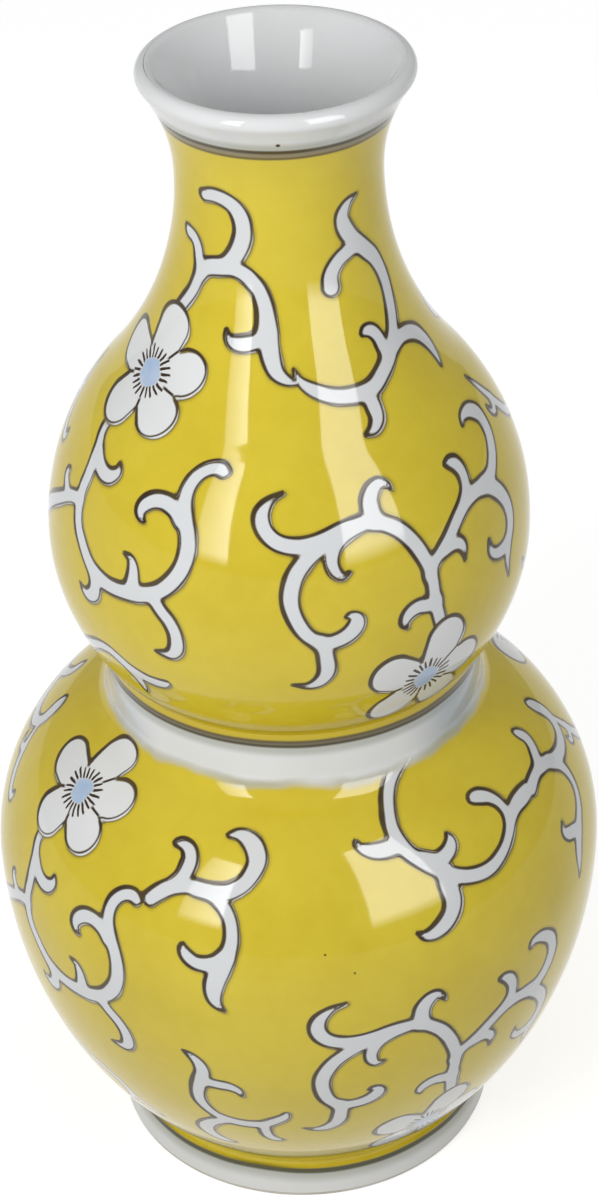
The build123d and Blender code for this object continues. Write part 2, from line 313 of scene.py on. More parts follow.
# %% Scroll over a blossom
SCROLL = (
    [(-13, 19.7, 0.1), (-15.3, 18.5, 0.5), (-16.9, 16.8, 1), (-17.5, 15.2, 1.35), (-17.3, 13.6, 1.45),
     (-16.2, 12.1, 1.45), (-14.4, 11.2, 1.4), (-12, 10.9, 1.4), (-9.5, 11.2, 1.4), (-7, 12, 1.35),
     (-4.6, 12.9, 1.3), (-2.3, 13.4, 1.25), (-0.2, 13.4, 1.25), (2.4, 12.6, 1.35), (5, 10.8, 1.35),
     (7, 8.4, 1.35), (8.6, 5.6, 1.35), (9.7, 2.8, 1.3), (10.2, 0.2, 1.3), (10.4, -2.2, 1.3),
     (10.8, -5, 1.3), (11.6, -8.5, 1.2), (12.2, -11, 1)],
    [(1, 13.5, 1.6), (0.7, 15.4, 1.55), (0.8, 17, 1.5), (1.7, 18.5, 1.3), (3, 19.2, 0.9), (4.3, 18.6, 0.5),
     (5, 17.6, 0.1)],
    [(9.8, 1.5, 1.2), (10.8, 3.2, 1.25), (12.4, 4.5, 1.3), (14.1, 5.8, 1.4), (16, 7.6, 1.4), (18, 9.3, 1.45),
     (20, 10.5, 1.6), (22.6, 10.8, 1.5), (25.5, 10.7, 1.6), (28, 11.2, 1.6), (29.7, 12.7, 1.6),
     (30.8, 14.6, 1.6), (31.2, 17, 1.5), (30, 20, 1.4), (27, 22, 1.2), (24.5, 22.2, 0.8), (23.8, 21.3, 0.4)],
    [(19.9, 11, 1.4), (20.3, 12.6, 1.25), (20.3, 14, 1.2), (19.9, 15.5, 1.2), (18.9, 16.9, 1.2),
     (17.7, 17.6, 0.9), (16.8, 17.8, 0.4)],
    [(13.4, 4.6, 1.3), (15.2, 4.8, 1.3), (16.6, 4.4, 1.2), (17.5, 3.3, 0.9), (17.7, 2, 0.4), (17.7, 1, 0.1)],
    [(25, 10.6, 1.4), (27.2, 9.4, 1.5), (29.6, 7.3, 1.5), (31.4, 4.9, 1.5), (32.2, 2.4, 1.5),
     (31.9, 0.2, 1.5), (30.7, -1.6, 1.45), (28.6, -2.3, 1.4), (26.2, -1.9, 1.1), (24.7, -0.7, 0.8),
     (24.3, 1.5, 0.15)],
    [(30.6, -1.8, 1.3), (30.3, -3.6, 1.2), (30, -5.5, 0.8), (30.4, -8.6, 0.1)],
    [(-8.5, 10.6, 1.2), (-10.7, 9.1, 1.3), (-12.2, 7.7, 1.35), (-13.5, 6, 1.4), (-14.4, 3.9, 1.45),
     (-14.8, 1.8, 1.45), (-14.6, -0.3, 1.4), (-13.8, -2.6, 1.35), (-12.6, -4.6, 1.3), (-10.9, -6, 1.3),
     (-8.9, -6.5, 1.35), (-6.9, -6.1, 1.4), (-5.2, -5.1, 1.45), (-4.2, -3.8, 1.45), (-4.1, -2.6, 1.1),
     (-5, -1.9, 0.6), (-5.8, -2.1, 0.2)],
    [(-10.5, -6.2, 1.3), (-9.7, -8, 1.35), (-9.4, -9.8, 1.4), (-9.2, -11.7, 1.45), (-9.5, -13.4, 1.35),
     (-10.6, -14.9, 1.1), (-12.4, -15.6, 0.6), (-14.8, -15.2, 0.1)],
    [(-1.5, 13.1, 1), (-4.3, 12, 1.1), (-6.3, 10.5, 1.2), (-7.2, 8.6, 1.2), (-7.2, 7.1, 1.1),
     (-6.7, 5.9, 0.95), (-5.8, 5.2, 0.6), (-4.4, 5.7, 0.1)],
    [(10.6, -3.8, 1.3), (9, -3.9, 1.3), (7.4, -3.5, 1.35), (5.9, -3.8, 1.3), (4.8, -4.7, 1.1),
     (4.4, -5.8, 0.7), (4.9, -6.9, 0.1)],
)
print("scroll of", len(SCROLL), "strokes")

# %% [markdown]
# Two tendrils climb the neck, one from the blossom on the left and one on the right of it.

# %% Tendrils on the neck
NECK_LEFT = (
    [(-10, -6, 1.1), (-8, -3.2, 1.1), (-6.4, -0.8, 1.1), (-5.2, 2, 1.2), (-3.8, 3.8, 1.3), (-1.3, 4.7, 1.3),
     (1.3, 4.9, 1.3), (3.2, 4.4, 1.35), (4.8, 3.2, 1.35), (6.1, 1.7, 1.3), (7.2, -0.7, 1.4), (7.8, -3, 1.6),
     (8.2, -5, 1.8), (8.9, -7.4, 1.6), (9.8, -9.7, 1.4), (11, -11.6, 1.1), (12.9, -12.9, 0.7),
     (15.2, -13.5, 0.15)],
    [(-5, 3, 1.2), (-5.5, 5, 1.1), (-6, 6.9, 1.05), (-7, 8.1, 1.05), (-8.3, 8.6, 1), (-9, 9.2, 0.4)],
    [(-3, 4.4, 1.2), (-0.2, 5.2, 1.4), (1.7, 7.4, 1.5), (2.7, 9.9, 1.55), (2.9, 12, 1.5), (2.5, 14, 1.5),
     (1.4, 15.7, 1.4), (-0.4, 16.7, 1.35), (-2.4, 16.9, 1.25), (-4.2, 16.4, 1)],
    [(8, -5.4, 1.4), (6.4, -6.6, 1.35), (4.6, -7.2, 1.4), (2.9, -7.2, 1.1), (1.8, -6.5, 0.6),
     (1.4, -5.4, 0.15)],
)
NECK_RIGHT = (
    [(-12.8, -11, 0.1), (-12.4, -13, 0.7), (-10.9, -14.6, 1.2), (-8.6, -15.9, 1.35), (-6, -16.6, 1.4),
     (-3, -16.8, 1.5), (-0.4, -16.3, 1.5), (2, -14.8, 1.5), (4.3, -13, 1.6), (6, -11.2, 1.6), (7, -9.5, 1.4),
     (7.9, -7, 1.4), (8.3, -4, 1.4), (8.2, -1.5, 1.4), (7.5, 1, 1.4), (6.2, 3.4, 1.45), (4.3, 5.5, 1.5),
     (2, 7.9, 1.5), (0.5, 10.2, 1.55), (-0.1, 12.3, 1.3), (0.5, 13.9, 1), (1.5, 14.9, 0.6), (3, 15.6, 0.1)],
    [(2.4, 7, 1.3), (0.6, 6.4, 1.3), (-1, 5.7, 1.25), (-2.4, 4.5, 1.25), (-3.3, 3, 1.35), (-3.5, 1.3, 1.5)],
    [(6.6, -11.6, 1.4), (8.8, -11.2, 1.4), (11.2, -11.7, 1.4), (13.8, -13.2, 1.35), (15.8, -15.6, 1.2),
     (16.8, -18, 0.9), (17, -19.9, 0.4)],
    [(4.2, -12.5, 1.3), (3.7, -10.8, 1.3), (3.2, -9, 1.2), (2.3, -7.8, 1.15), (1.2, -7.4, 0.9),
     (0.4, -7.7, 0.4)],
    [(-2, -17.5, 1.3), (-1.8, -19.5, 1.4), (-2, -21.5, 1.2), (-3.3, -23, 0.8), (-5, -23.6, 0.2)],
)
print("neck tendrils of", len(NECK_LEFT), "and", len(NECK_RIGHT), "strokes")

# %% [markdown]
# The lower bulb has more room, which smaller tendrils fill: one beside the blossom, one that comes
# down from the white band and one that climbs from its end, a sprig near the foot, and plain creepers
# and crooks at the sides.

# %% Tendrils of the lower bulb
TENDRIL = (
    [(-9.8, 4.2, 1.3), (-7.9, 6, 1.4), (-5.7, 7.5, 1.4), (-2.9, 8.3, 1.35), (0, 8.3, 1.3), (2.4, 8.3, 1.4),
     (4.6, 8.7, 1.5), (7, 10.6, 1.45), (8.2, 13.8, 1.6), (7.4, 16.3, 1.6), (5.8, 18, 1.4), (4, 18.7, 1),
     (2.3, 18.3, 0.4)],
    [(-5, 8.4, 1.3), (-4.2, 9.9, 1.35), (-3.7, 11.6, 1.4), (-3.6, 13, 1.35), (-4.2, 14.4, 1.3),
     (-5.4, 15, 1), (-6.7, 14.8, 0.5)],
    [(-1.5, 8, 1.2), (1.2, 7.6, 1.2), (3, 6.6, 1.2), (4.6, 5, 1.2), (5.7, 2.8, 1.2), (6.1, 0, 1.3),
     (5.7, -2.5, 1.5), (4.8, -5, 1.8), (3.8, -7.8, 1.8), (3.5, -10.4, 1.5), (4, -12.3, 1),
     (5.5, -13.9, 0.15)],
    [(5.2, -3.2, 1.5), (3.6, -4.4, 1.5), (2, -4.9, 1.4), (0, -4.9, 1.3), (-1.6, -4, 1.2), (-2.4, -2.9, 0.8),
     (-2.5, -1.9, 0.15)],
)
HANGER = (
    [(-6, 22, 2.6), (-7.6, 20, 1.9), (-9.2, 18.2, 1.35), (-11, 16.4, 1.1), (-13.2, 13.9, 1.05),
     (-15.2, 11, 1.1), (-16.5, 8.4, 1.25), (-17, 5.6, 1.5), (-16.6, 3.3, 1.5), (-15.4, 1.3, 1.5),
     (-13.5, -0.8, 1.6), (-11.2, -3, 1.5), (-8.8, -4.3, 1.4), (-6, -5, 1.35), (-3.4, -5, 1.3),
     (-1, -4.3, 1.2), (1.3, -3.2, 1.1), (3.6, -1.5, 1.15), (5.4, 0.2, 1.4), (7.8, 1.2, 1.6),
     (10.4, 1.4, 1.7), (12.4, 1.4, 1.5)],
    [(-17.6, 5.2, 1.4), (-19.4, 5, 1.5), (-21.2, 5, 1.5), (-22.8, 5.4, 1.3), (-23.8, 6.3, 0.8),
     (-23.6, 7.6, 0.15)],
    [(-14.6, 1.6, 1.4), (-12.4, 0.5, 1.4), (-10.4, 0.8, 1.35), (-8.9, 1.8, 1.15), (-8.2, 3, 0.7),
     (-8.3, 4.2, 0.1)],
    [(-12.4, -1.8, 1.5), (-12.9, -3.8, 1.7), (-13, -5.6, 1.8), (-13.3, -7.4, 1.7), (-14.4, -9.2, 1.55),
     (-16.3, -10.7, 1.5), (-18.5, -11.6, 1.25), (-20.3, -11.6, 0.8), (-21.6, -10.6, 0.15)],
    [(5.2, 0.4, 1.2), (5, 2.3, 1.1), (4.5, 4, 1.15), (3.3, 5.6, 1.3), (1.8, 6.6, 1.45), (0.6, 7, 1.2),
     (-0.2, 7, 0.6)],
)
CLIMBER = (
    [(-3.9, 8.3, 1.4), (-0.8, 9, 1.25), (1.7, 9, 1.3), (4.6, 8.2, 1.4), (7.6, 6.6, 1.5), (11, 5.8, 1.5),
     (14.6, 6, 1.45), (16.8, 7.3, 1.45), (17.6, 9.2, 1.5), (17, 11.4, 1.5), (15.8, 13.4, 1.4),
     (14.7, 14.8, 0.7)],
    [(2.2, 9.4, 1.3), (3.6, 10.9, 1.3), (4.8, 12.3, 1.25), (5.3, 13.9, 1.25), (4.8, 15.3, 1.1),
     (4.2, 16.3, 0.6)],
    [(5.8, 7.4, 1.3), (7.8, 5.2, 1.3), (8.7, 2.9, 1.2), (8.8, 0.6, 1.05), (8, -1.6, 1.1), (6.4, -3.4, 1.2),
     (4.2, -5, 1.4), (1.8, -7.3, 1.5), (0.3, -9.8, 1.2), (-0.9, -13.6, 0.15)],
    [(2.8, -5.6, 1.4), (0.6, -4.7, 1.4), (-1.2, -3.9, 1.3), (-2.2, -2.7, 0.8), (-1.5, -1, 0.1)],
)
SPRIG = (
    [(-7.6, 15, 0.2), (-6.2, 14, 0.8), (-5, 12.3, 1.2), (-4.6, 10, 1.4), (-5.2, 7.5, 1.5), (-5.9, 5, 1.4),
     (-6.3, 2.5, 1.3), (-6.2, 0, 1.3), (-5.2, -2.5, 1.2), (-3.6, -4.6, 1.2), (-1, -6, 1.4), (2, -6.4, 1.4),
     (5, -5.8, 1.3), (7.2, -4.2, 1.2), (9, -2.6, 1), (9.8, -1, 0.5)],
    [(-4.5, 7.2, 1.3), (-2, 7, 1.3), (0, 6.9, 1.2), (1.6, 6, 0.9), (2.3, 4.4, 0.3)],
    [(-2.5, -6.5, 1.2), (-5, -8.5, 1.4), (-6.6, -11, 1.6), (-7, -13.5, 1.7), (-6.2, -16, 1.5),
     (-4.5, -17.8, 1.2), (-2.6, -18.3, 0.6)],
    [(5, -7, 1.1), (5, -9.5, 1.1), (5.3, -11.5, 1.1), (6.2, -12.8, 1), (7.4, -13, 0.5)],
)
CREEPER = (
    [(-22, -7, 0.5), (-16, -4, 1.2), (-11, -0.6, 1.3), (-7, 1.9, 1.2), (-3.7, 2.6, 1.2), (-1, 1.6, 1.3),
     (1, 0.6, 1.3), (4.7, -0.2, 1.2), (7.5, 0, 1.1), (9.2, 0.8, 0.6)],
    [(1, 0, 1.2), (2.1, -2, 1), (2.3, -4, 0.7), (2, -5.5, 0.2)],
)
CROOK = (
    [(-6, 14, 0.3), (-4.5, 9, 1), (-2, 4, 1.3), (1, 0.5, 1.3), (3.5, -1, 1.2), (5, -0.6, 0.9),
     (5.6, 1, 0.4)],
    [(-3.4, 6.5, 1), (-5.5, 5, 1), (-7, 5.5, 0.8), (-7.6, 7, 0.3)],
)
small = (TENDRIL, HANGER, CLIMBER, SPRIG, CREEPER, CROOK)
print("smaller tendrils of", [len(motif) for motif in small], "strokes")

# %% [markdown]
# The blossom. Five petals stand round a pale blue heart with dark stamens. A petal is a short wide
# stroke from the heart, so the same distance draws it. The heart and stamens are finer than the
# mesh, so the vertices only carry their place in the blossom, and the material draws them.

# %% Petals
# direction in degrees, and how far out in mm the middle of the round end is
PETALS = ((21, 7.8), (84, 8.9), (166, 8.2), (242, 8.0), (318, 7.9))
PETAL_WIDTHS = ((0.1, 2.0), (0.55, 3.5), (1.0, 4.05))  # share of the way out, half the width in mm


def petal(direction, reach):
    """A petal as one wide stroke."""
    aim = np.array([cos(radians(direction)), sin(radians(direction))]) * reach
    return [(*(aim * share), width) for share, width in PETAL_WIDTHS]


BLOSSOM = [petal(*way) for way in PETALS]
print("blossom reaches", max(reach for _, reach in PETALS) + PETAL_WIDTHS[-1][1], "mm")

# %% [markdown]
# Stamping the motifs. A motif is laid on a bulb at a turn from the front and a height, as a stencil
# would be: across is measured round the ring, up along the wall. UV coordinates could do the same,
# but the sizes would then be shares of a picture, and not millimetres. The back, which nobody sees
# at first, has the front's layout again, half a turn on.

# %% Where each motif goes
HALF_TURN = 180
STAMPS = {  # motif, degrees from the front, height in mm, tilt in degrees, scale
    "upper_enamel": (
        (VINE, -58.9, 169.4, 0, 1),
        (SCROLL, 20, 140, 0, 1),
        (NECK_LEFT, -30, 185, 0, 1),
        (NECK_RIGHT, 35, 185, 0, 1),
        (CREEPER, -45, 120, 0, 1),
        (CROOK, 88, 152, 0, 0.9),
    ),
    "lower_enamel": (
        (VINE, -59.5, 89.5, 0, 1),
        (TENDRIL, -20, 78, 0, 1),
        (HANGER, 45, 86, 0, 1),
        (CLIMBER, 66, 80, 0, 1),
        (SCROLL, 18.7, 44.7, -7, 1.04),
        (SPRIG, -15, 38, 0, 1),
        (CREEPER, -44, 28, -45, 0.85),
        (CROOK, -86, 78, 0, 0.9),
    ),
}
BLOSSOMS = {  # degrees from the front, height in mm, tilt in degrees
    "upper_enamel": ((-58.9, 169.4, 0), (33.5, 120, -14)),
    "lower_enamel": ((-59.5, 89.5, 0), (28.7, 23, -14)),
}
print("stamps:", {name: 2 * len(stamps) for name, stamps in STAMPS.items()})

# %% [markdown]
# Each vertex now carries three vectors. For the vines, its distance from the drawn line and from the
# edge of the yellow, which was filled in a little to one side of the line. The same for the petals,
# with how far it lies between two petals. And its place in the nearest blossom. The strokes of a vine
# meet in round hollows, as a brush leaves them.

# %% Stamp the bulbs
REACH = 62.0  # mm, no motif is larger than this about its spot
SLIPS = {"vine": (0.22, -0.16), "petal": (0.42, -0.34)}  # mm, from the drawing to the white left
SPARE = 0.08  # mm, by which the white is wider than the drawing
HOLLOWS = {"vine": 0.9, "petal": 0.05}  # mm, how round the corners between two strokes are


def stencil(spots_mm, climb, around, level, tilt, scale):
    """Spots of the vertices on a motif's own sheet, in mm, and which of them lie on it."""
    turn, radius, height = spots_mm
    across = radius * ((turn - radians(around) + pi) % (2 * pi) - pi)
    up = climb(height) - climb(level)
    on = np.flatnonzero(np.hypot(across, up) < REACH * scale)
    c, s = cos(radians(tilt)) / scale, sin(radians(tilt)) / scale
    return np.column_stack([across[on] * c + up[on] * s, up[on] * c - across[on] * s]), on


def merged(near, other, hollow):
    """The nearer of two distances, with a round hollow where both are near."""
    meet = np.maximum(hollow - np.abs(near - other), 0)
    return np.minimum(near, other) - meet**2 / (4 * hollow)


def stamp(field, on, spots, strokes, scale, kind):
    """Lower the distances of a field where strokes come nearer."""
    drawn = white = np.full(len(on), FAR)
    for stroke in strokes:
        drawn = merged(drawn, scale * distance(spots, stroke), HOLLOWS[kind])
        white = merged(white, scale * distance(spots - SLIPS[kind], stroke) - SPARE, HOLLOWS[kind])
    field[on, 0] = np.minimum(field[on, 0], drawn)
    field[on, 1] = np.minimum(field[on, 1], white)


def petal_phase(spots):
    """The angle in a blossom, stretched so that a full turn takes it from petal to petal."""
    ways = np.radians([direction for direction, _ in PETALS])
    ways = np.append(ways, ways[0] + 2 * pi)
    angle = (np.arctan2(spots[:, 1], spots[:, 0]) - ways[0]) % (2 * pi) + ways[0]
    return 2 * pi * np.interp(angle, ways, np.arange(len(ways)))


def paint(name):
    """Give a bulb's vertices their distances from the painted strokes."""
    turn, radius, height = places(coats[name])
    outside = spaced(outlines[name], 1 * MM) / MM
    run = run_along(outside)
    spots_mm = (turn, radius / MM, height / MM)
    vine, petals, blossom = (np.full((len(turn), 3), limit) for limit in (FAR, FAR, REACH))

    def climb(level):
        return np.interp(level, outside[:, 1], run)

    for half in (0, HALF_TURN):
        for motif, around, level, tilt, scale in STAMPS[name]:
            spots, on = stencil(spots_mm, climb, around + half, level, tilt, scale)
            stamp(vine, on, spots, motif, scale, "vine")
        for around, level, tilt in BLOSSOMS[name]:
            spots, on = stencil(spots_mm, climb, around + half, level, tilt, 1)
            stamp(petals, on, spots, BLOSSOM, 1, "petal")
            nearer = np.linalg.norm(spots, axis=1) < np.linalg.norm(blossom[on, :2], axis=1)
            phase = petal_phase(spots[nearer])
            blossom[on[nearer]] = np.column_stack([spots[nearer], np.sin(phase)])
            petals[on[nearer], 2] = np.cos(phase)
    for label, field in (("vine", vine), ("petal", petals), ("blossom", blossom)):
        stored_as = coats[name].data.attributes.new(label, "FLOAT_VECTOR", "POINT")
        stored_as.data.foreach_set("vector", field.ravel())
    print(name, "is", round(100 * np.mean(np.minimum(vine[:, 1], petals[:, 1]) < 0)), "% white")


for name in STAMPS:
    paint(name)

# %% [markdown]
# A bulb unrolled. A baked texture needs the surface laid flat. One strip all the way round would be
# three times as long as it is high, so the front half lies below and the back half above, and each
# fills its half of the square. What faces the clay is never seen, so it gets a thin strip only.

# %% Unroll the coats for baking
HIDDEN_STRIP = 0.02
MARGIN = 0.01


def loop_numbers(mesh):
    """The vertex of each face corner, each face's first corner, and the face of each corner."""
    corner = np.empty(len(mesh.loops), int)
    mesh.loops.foreach_get("vertex_index", corner)
    start = np.empty(len(mesh.polygons), int)
    mesh.polygons.foreach_get("loop_start", start)
    return corner, start, np.repeat(np.arange(len(start)), np.diff(np.append(start, len(corner))))


def unroll(name):
    """A UV map in two strips, front half below and back half above."""
    mesh = coats[name].data
    turn, radius, height = places(coats[name])
    outside = spaced(outlines[name], 1 * MM)
    run = run_along(outside)
    seen = radius > np.interp(height, outside[:, 1], outside[:, 0]) - COAT / 4
    corner, start, owner = loop_numbers(mesh)
    first = turn[corner[start]][owner]
    near = (turn[corner] - first + pi) % (2 * pi) - pi + first  # unbroken within a face
    middle = (np.add.reduceat(near, start) / np.bincount(owner))[owner]
    back = np.cos(middle) < 0
    along = near - np.where(back, np.copysign(pi, middle), 0)
    hidden = (np.add.reduceat(seen[corner].astype(int), start) < np.bincount(owner))[owner]
    climbed = np.interp(height[corner], outside[:, 1], run) / run[-1]
    strip = np.where(hidden, MARGIN + climbed * (HIDDEN_STRIP - MARGIN),
                     HIDDEN_STRIP + MARGIN + climbed * (1 - HIDDEN_STRIP - 2 * MARGIN))
    across = 0.5 + along / pi * (1 - 2 * MARGIN)
    spots = np.column_stack([across, (back + strip) / 2])
    mesh.uv_layers.new(name="OFBake").data.foreach_set("uv", spots.ravel())


for name in coats:
    unroll(name)
print("unrolled", len(coats), "coats")

# %% [markdown]
# Colours and nodes. A colour is written as an sRGB code, and the shaders want linear light, so
# one function converts it. A material is a chain of nodes, and one small function adds each of
# them: it takes the node's settings, and for each socket a value or the output to link from, and
# gives back the new node's own output. Settings that come back often have a name.

# %% Colours and nodes
BLEND = {"give": 2, "data_type": "RGBA"}  # a Mix node for colours, with share 0 and colours 6 and 7
TIMES = {"operation": "MULTIPLY"}


def linear(code):
    """Linear RGBA from an sRGB hex code."""
    shares = [int(code[at:at + 2], 16) / 255 for at in (0, 2, 4)]
    return (*(c / 12.92 if c <= 0.04045 else ((c + 0.055) / 1.055) ** 2.4 for c in shares), 1)


def add(tree, kind, sockets=None, give=0, **settings):
    """One output of a new node with its settings, and its sockets set or linked."""
    node = tree.nodes.new("ShaderNode" + kind)
    for setting, value in settings.items():
        setattr(node, setting, value)
    for socket, value in (sockets or {}).items():
        if isinstance(value, bpy.types.NodeSocket):
            tree.links.new(value, node.inputs[socket])
        else:
            node.inputs[socket].default_value = value
    return node.outputs[give] if node.outputs else None


def empty_tree(owner):
    """The node tree of a material, a lamp or the world, with nothing in it."""
    owner.use_nodes = True
    owner.node_tree.nodes.clear()
    return owner.node_tree


def new_finish(name, **surface):
    """A material, its tree, its shader with the constant sockets set, and Object coordinates."""
    finish = bpy.data.materials.new(name)
    tree = empty_tree(finish)
    shader = add(tree, "BsdfPrincipled", surface)
    add(tree, "OutputMaterial", {"Surface": shader})
    return finish, tree, shader.node, add(tree, "TexCoord", give="Object")


def cover(tree, shader, colour, bump):
    """Link a colour and a bump to a shader."""
    tree.links.new(colour, shader.inputs["Base Color"])
    tree.links.new(bump, shader.inputs["Normal"])


print("white is", [round(share, 3) for share in linear("E6E7E8")])

# %% [markdown]
# Soft steps. Glaze and brushwork have no hard borders: the fire lets each colour run a little into
# the next. So every border here is a Map Range with a smooth step, and its softness is a real
# distance. Two of them make a line, and noise makes the line thick and thin as a brush does.

# %% Soft borders and hand-made noise
NOISE_SPAN = {"From Min": 0.33, "From Max": 0.67}  # where most values of a noise lie


def below(tree, value, limit, soft, full=1.0):
    """Full where the value is below the limit, 0 above, with a soft border."""
    return add(tree, "MapRange", {"Value": value, "From Min": limit - soft, "From Max": limit + soft,
                                  "To Min": full, "To Max": 0.0}, interpolation_type="SMOOTHSTEP")


def between(tree, value, low, high, soft, full=1.0):
    """Full where the value lies between two limits, with soft borders."""
    ends = [below(tree, value, limit, soft, full) for limit in (high, low)]
    return add(tree, "Math", dict(enumerate(ends)), operation="SUBTRACT", use_clamp=True)


def drift(tree, spot, size, low, high, channel=0):
    """Noise of a size in metres that wanders between two values."""
    noise = add(tree, "TexNoise", {"Vector": spot, "Scale": 1 / size, "Detail": 2.0}, give="Color")
    part = add(tree, "SeparateColor", {"Color": noise}, give=channel)
    return add(tree, "MapRange", {"Value": part, **NOISE_SPAN, "To Min": low, "To Max": high})


print("a noise drifts between", NOISE_SPAN["From Min"], "and", NOISE_SPAN["From Max"])

# %% [markdown]
# Rings drawn on the wheel. A dark double line closes the yellow under the rim, one lies in the
# crease at the waist and one on the foot. Each is drawn with the brush held still while the vase
# turns, so it is a band between two heights. Below the white band at the waist the yellow simply
# stops, and its soft border is grey where the thin enamel mixes with the glaze.

# %% Rings by height
INK = "38291B"
THIN_INK = "6E6033"
RINGS = (  # from and to in mm of height, softness, colour, strength
    (210.15, 212.1, 0.3, "857650", 0.85),
    (211.4, 212.1, 0.22, "443C26", 0.9),
    (210.15, 210.6, 0.22, "5E5228", 0.85),
    (105.9, 107.5, 0.3, "675D3A", 0.9),
    (106.0, 106.5, 0.2, "403A26", 0.85),
    (106.9, 107.3, 0.2, "57492A", 0.7),
    (5.7, 6.9, 0.3, "4A492B", 0.95),
)
WOBBLE = 0.25  # mm


def height_mm(tree, spot):
    """Height above the ground in mm, as a hand on the wheel keeps it."""
    level = add(tree, "SeparateXYZ", {"Vector": spot}, give="Z")
    wobble = drift(tree, spot, 30 * MM, -WOBBLE, WOBBLE)
    return add(tree, "Math", {0: level, 1: 1 / MM, 2: wobble}, operation="MULTIPLY_ADD")


def ring_lines(tree, colour, level):
    """The dark rings over a colour."""
    for low, high, soft, ink, strength in RINGS:
        ring = between(tree, level, low, high, soft, strength)
        colour = add(tree, "Mix", {0: ring, 6: colour, 7: linear(ink)}, **BLEND)
    return colour


print(len(RINGS), "rings")

# %% [markdown]
# White glaze on porcelain. The rim, the waist band, the foot, the lining and the base have it: a
# clear glass over a white body, cool in the light. It is a greenish grey along the rim, the waist
# crease and the foot, where it lies thick, and these grey bands also paint the shade in those creases.
# A plain white would look like plastic, so it has faint clouds and a pinhole as any kiln load has,
# painted bluish-grey shade at both sides of the waist band, and a hardly rough surface that mirrors
# the lamps.

# %% White glaze
GLAZE_WHITE = "E4E5E6"
GLAZE_CLOUD = "D9DCDA"
# greyer bands where the glaze lies thick by the rim, the waist crease and the foot, which also paint the
# shade in these creases
GLAZE_POOL_AND_SHADE = "9EA295"
POOLS_AND_SHADE = ((104.4, 107.5, 0.8), (4.2, 7.5, 1.2), (209.5, 213.4, 0.7))  # mm of height, softness
POOL_AND_SHADE_STRENGTH = 0.6
GLOSS = {"Roughness": 0.06, "IOR": 1.38}  # glass has about 1.5, but this one mirrors more mildly
RIPPLE = 0.008 * MM
FLAWS_AND_SHADE = {  # degrees from the front, height in mm, radius, softness, colour, strength
    "rim_glaze": ((-0.1, 213.3, 0.36, 0.16, "2E2518", 1.0),),
    # the two grey clouds on the waist band are painted shade at its sides
    "waist_glaze": ((60, 101.5, 9, 8, "97A5B2", 0.75), (-62, 100, 6, 5, "B4BCC2", 0.5)),
    "lower_enamel": ((4.1, 76.1, 0.2, 0.12, "3A3016", 1.0), (9.3, 72.3, 0.2, 0.12, "3A3016", 1.0)),
}


def glazed_white(tree, spot):
    """Colour of clear glaze over the white body."""
    cloud = drift(tree, spot, 14 * MM, 0.0, 0.35)
    return add(tree, "Mix", {0: cloud, 6: linear(GLAZE_WHITE), 7: linear(GLAZE_CLOUD)}, **BLEND)


def flaws_and_shade(tree, spot, colour, name):
    """A colour with the pinholes of a coat and, on the waist band, painted bluish-grey shade at its sides."""
    outside = spaced(outlines[name], 1 * MM)
    for around, level, size, soft, tone, strength in FLAWS_AND_SHADE[name]:
        radius = np.interp(level * MM, outside[:, 1], outside[:, 0])
        turn = radians(around)
        place = (radius * sin(turn), -radius * cos(turn), level * MM)
        away = add(tree, "VectorMath", {0: spot, 1: place}, give="Value", operation="DISTANCE")
        near = below(tree, away, size * MM, soft * MM, strength)
        colour = add(tree, "Mix", {0: near, 6: colour, 7: linear(tone)}, **BLEND)
    return colour


def ripple(tree, spot):
    """Fine unevenness of fired glass, as a bump."""
    noise = add(tree, "TexNoise", {"Vector": spot, "Scale": 1 / (7 * MM), "Detail": 1.0})
    return add(tree, "Bump", {"Height": noise, "Strength": 1.0, "Distance": RIPPLE})


def clear_glaze(name, ringed):
    """Clear glaze over white porcelain, with or without the rings."""
    finish, tree, shader, spot = new_finish(name, **GLOSS)
    colour = glazed_white(tree, spot)
    if ringed:
        level = height_mm(tree, spot)
        # grey bands by the rim, the waist crease and the foot: thick glaze, and painted shade in the creases
        for pool_and_shade in POOLS_AND_SHADE:
            thick = between(tree, level, *pool_and_shade, POOL_AND_SHADE_STRENGTH)
            colour = add(tree, "Mix", {0: thick, 6: colour, 7: linear(GLAZE_POOL_AND_SHADE)}, **BLEND)
        for coat in ("rim_glaze", "waist_glaze"):
            colour = flaws_and_shade(tree, spot, colour, coat)
        colour = ring_lines(tree, colour, level)
    cover(tree, shader, colour, ripple(tree, spot))
    return finish


lining = clear_glaze("clear_glaze_lining", ringed=False)
glaze = clear_glaze("clear_glaze_with_rings", ringed=True)
print(lining.name, "and", glaze.name, "with", len(glaze.node_tree.nodes), "nodes")

# %% [markdown]
# Yellow enamel, painted over the glaze. It is a coloured glass put on with a wide brush, so it is
# clear and deep where it ran together and thin where the brush left the cloth of the white showing.
# The vines and blossoms are left white. The line round them was drawn first and the yellow filled up
# to it by hand, so the two don't quite meet: there is one thick line on one side, and two thin ones
# with a sliver of white between them on the other.

# %% The white left in the yellow, and its lines
YELLOW = "DAC538"
YELLOW_DEEP = "CDB527"
OLIVE = "8E7F31"
VINE_WHITE = "D6D9DC"
# deeper yellow round the waist: enamel lying thick in the crease, and painted shade under the upper bulb
POOLED_AND_SHADED_YELLOW = (100.0, 112.5, 4.0)  # mm of height, softness
LINE_WIDTH = 0.28  # mm, half of a drawn line
LINE_SOFT = 0.16  # mm
LEAN = {"From Min": -0.2, "From Max": 0.35, "To Min": 1.45, "To Max": 0.6}  # thick line to double line
FILL_EDGE = (-0.12, 0.2, 0.12, 0.75)  # mm from the yellow's border, softness, strength
HALO = (0.45, 0.5)  # mm of thick enamel beside a motif, softness


